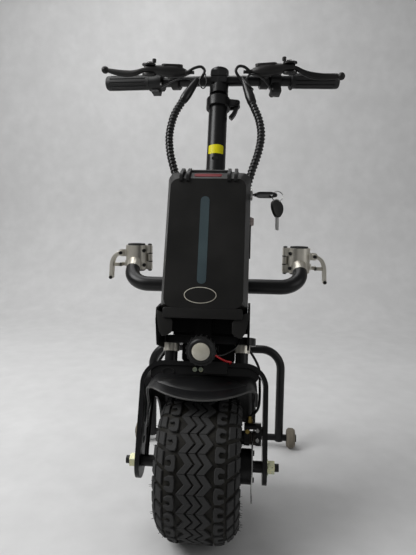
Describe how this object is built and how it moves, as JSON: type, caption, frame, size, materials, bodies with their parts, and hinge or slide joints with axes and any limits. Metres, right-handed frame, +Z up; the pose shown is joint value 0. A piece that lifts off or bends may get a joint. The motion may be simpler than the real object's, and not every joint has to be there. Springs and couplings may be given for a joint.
{
  "type": "wheelchair power assist",
  "caption": "Front drive unit for a manual wheelchair: fat motor wheel in a raked fork, battery on the column, handlebar with levers, frame clamps and a roller stand.",
  "frame": {"origin": "on the ground under the middle of the drive wheel", "axes": "+Z up, -Y to the front, +X to the rider's right as seen from the front of the unit"},
  "size_m": [0.5318, 0.49, 0.8895],
  "materials": {
    "black_paint": "satin powder coat",
    "tyre_rubber": "moulded tread",
    "rubber": "moulded matt rubber",
    "sleeve": "spiral wrap",
    "steel": "turned",
    "zinc": "zinc plated",
    "aluminium": "bare cast and turned",
    "winding": "copper winding",
    "pad": "sintered",
    "case_plastic": "satin moulded",
    "plastic": "moulded",
    "roller_rubber": "moulded",
    "cells": "shrink wrap",
    "button": "moulded",
    "lens": "clear dome",
    "box": "extruded"
  },
  "bodies": {
    "frame": {"steering_head": "black_paint", "head_bearings": "steel", "arm_tubes": "black_paint", "clamp_bodies": "aluminium", "clamp_liners": "rubber", "stand_hanger": "black_paint"},
    "steering": {"motor_stator": "winding", "axle": "steel", "axle_nuts": "zinc", "brake_calliper": "black_paint", "brake_pads": "pad", "fork": "black_paint", "mudguard": "plastic", "fork_pillars": "black_paint", "pillar_collars": "aluminium", "fork_crown": "black_paint", "steering_column": "black_paint", "height_collar": "black_paint", "cable_sleeves": "sleeve", "wheel_cables": "sleeve", "battery_tray": "black_paint", "controller_box": "box", "headlight": "plastic", "headlight_lens": "lens", "horn": "plastic"},
    "wheel": {"tyre": "tyre_rubber", "hub_shell": "black_paint", "hub_covers": "black_paint", "wheel_bearings": "steel", "brake_disc": "steel", "disc_bolts": "steel"},
    "height_lever": {"height_lever": "black_paint"},
    "bar": {"bar_stem": "black_paint", "stem_head": "black_paint", "handlebar": "black_paint", "hand_grip": "rubber", "throttle_housing": "plastic", "switch_pod": "plastic", "lever_mounts": "black_paint"},
    "throttle": {"throttle_grip": "rubber"},
    "brake_lever_left": {"brake_lever_left": "black_paint"},
    "brake_lever_right": {"brake_lever_right": "black_paint"},
    "horn_button": {"horn_button": "button"},
    "light_switch": {"light_switch": "plastic"},
    "battery": {"battery_case": "case_plastic", "battery_cover": "case_plastic", "cell_pack": "cells", "lock_barrel": "steel"},
    "handle": {"carry_handle": "plastic"},
    "key": {"ignition_key": "plastic"},
    "hanging_key": {"spare_key": "steel"},
    "jaw_left": {"clamp_jaw_left": "aluminium", "jaw_liner_left": "rubber"},
    "jaw_right": {"clamp_jaw_right": "aluminium", "jaw_liner_right": "rubber"},
    "latch_left": {"clamp_latch_left": "aluminium"},
    "latch_right": {"clamp_latch_right": "aluminium"},
    "stand": {"parking_stand": "black_paint"},
    "roller_left": {"roller_left": "roller_rubber"},
    "roller_right": {"roller_right": "roller_rubber"}
  },
  "joints": [
    {"name": "steering_turn", "type": "hinge", "parent": "frame", "child": "steering", "pos_m": [0, 0.03, 0.127], "axis": [0, 0.342, 0.9397], "range_deg": [-40, 40]},
    {"name": "wheel_spin", "type": "hinge", "parent": "steering", "child": "wheel", "pos_m": [0, 0, 0.127], "axis": [1, 0, 0], "continuous": true},
    {"name": "height_lever_swing", "type": "hinge", "parent": "steering", "child": "height_lever", "pos_m": [0.04, 0.27625, 0.80358], "axis": [0, -0.9397, 0.342], "range_deg": [0, 120]},
    {"name": "bar_height", "type": "slide", "parent": "steering", "child": "bar", "axis": [0, 0.342, 0.9397], "range_m": [0, 0.08], "deforming": ["cable_sleeves"]},
    {"name": "throttle_twist", "type": "hinge", "parent": "bar", "child": "throttle", "pos_m": [-0.05, 0.29609, 0.85808], "axis": [-0.9794, 0.198, 0.0392], "range_deg": [0, 70], "stiffness_Nm_per_rad": 0.3},
    {"name": "brake_lever_left_squeeze", "type": "hinge", "parent": "bar", "child": "brake_lever_left", "pos_m": [-0.14891, 0.26791, 0.87617], "axis": [-0.0234, 0.0812, -0.9964], "range_deg": [0, 14], "stiffness_Nm_per_rad": 2},
    {"name": "brake_lever_right_squeeze", "type": "hinge", "parent": "bar", "child": "brake_lever_right", "pos_m": [0.14891, 0.26791, 0.87617], "axis": [-0.0234, -0.0812, 0.9964], "range_deg": [0, 14], "stiffness_Nm_per_rad": 2},
    {"name": "horn_press", "type": "slide", "parent": "bar", "child": "horn_button", "axis": [0.1736, -0.9254, 0.3368], "range_m": [0, 0.002], "stiffness_N_per_m": 800},
    {"name": "light_switch_slide", "type": "slide", "parent": "bar", "child": "light_switch", "axis": [0.9794, 0.198, 0.0392], "range_m": [0, 0.0035]},
    {"name": "battery_lift", "type": "slide", "parent": "steering", "child": "battery", "axis": [0, 0.342, 0.9397], "range_m": [0, 0.12]},
    {"name": "handle_fold", "type": "hinge", "parent": "battery", "child": "handle", "pos_m": [0, 0.13221, 0.63704], "axis": [1, 0, 0], "range_deg": [0, 90]},
    {"name": "key_turn", "type": "hinge", "parent": "battery", "child": "key", "pos_m": [0.075, 0.12058, 0.60509], "axis": [1, 0, 0], "range_deg": [0, 40]},
    {"name": "hanging_key_swing", "type": "hinge", "parent": "battery", "child": "hanging_key", "pos_m": [0.12509, 0.11969, 0.60265], "axis": [0, 0.9397, -0.342], "range_deg": [-20, 20]},
    {"name": "jaw_left_open", "type": "hinge", "parent": "frame", "child": "jaw_left", "pos_m": [-0.1559, 0.29829, 0.467], "axis": [0, 0, -1], "range_deg": [0, 100]},
    {"name": "latch_left_swing", "type": "hinge", "parent": "frame", "child": "latch_left", "pos_m": [-0.2197, 0.29829, 0.477], "axis": [0, 1, 0], "range_deg": [-10, 100]},
    {"name": "jaw_right_open", "type": "hinge", "parent": "frame", "child": "jaw_right", "pos_m": [0.1559, 0.29829, 0.467], "axis": [0, 0, 1], "range_deg": [0, 100]},
    {"name": "latch_right_swing", "type": "hinge", "parent": "frame", "child": "latch_right", "pos_m": [0.2197, 0.29829, 0.477], "axis": [0, -1, 0], "range_deg": [-10, 100]},
    {"name": "stand_fold", "type": "hinge", "parent": "frame", "child": "stand", "pos_m": [0, 0.345, 0.243], "axis": [1, 0, 0], "range_deg": [0, 90]},
    {"name": "roller_left_spin", "type": "hinge", "parent": "stand", "child": "roller_left", "pos_m": [0, 0.335, 0.024], "axis": [1, 0, 0], "continuous": true},
    {"name": "roller_right_spin", "type": "hinge", "parent": "stand", "child": "roller_right", "pos_m": [0, 0.335, 0.024], "axis": [1, 0, 0], "continuous": true}
  ]
}
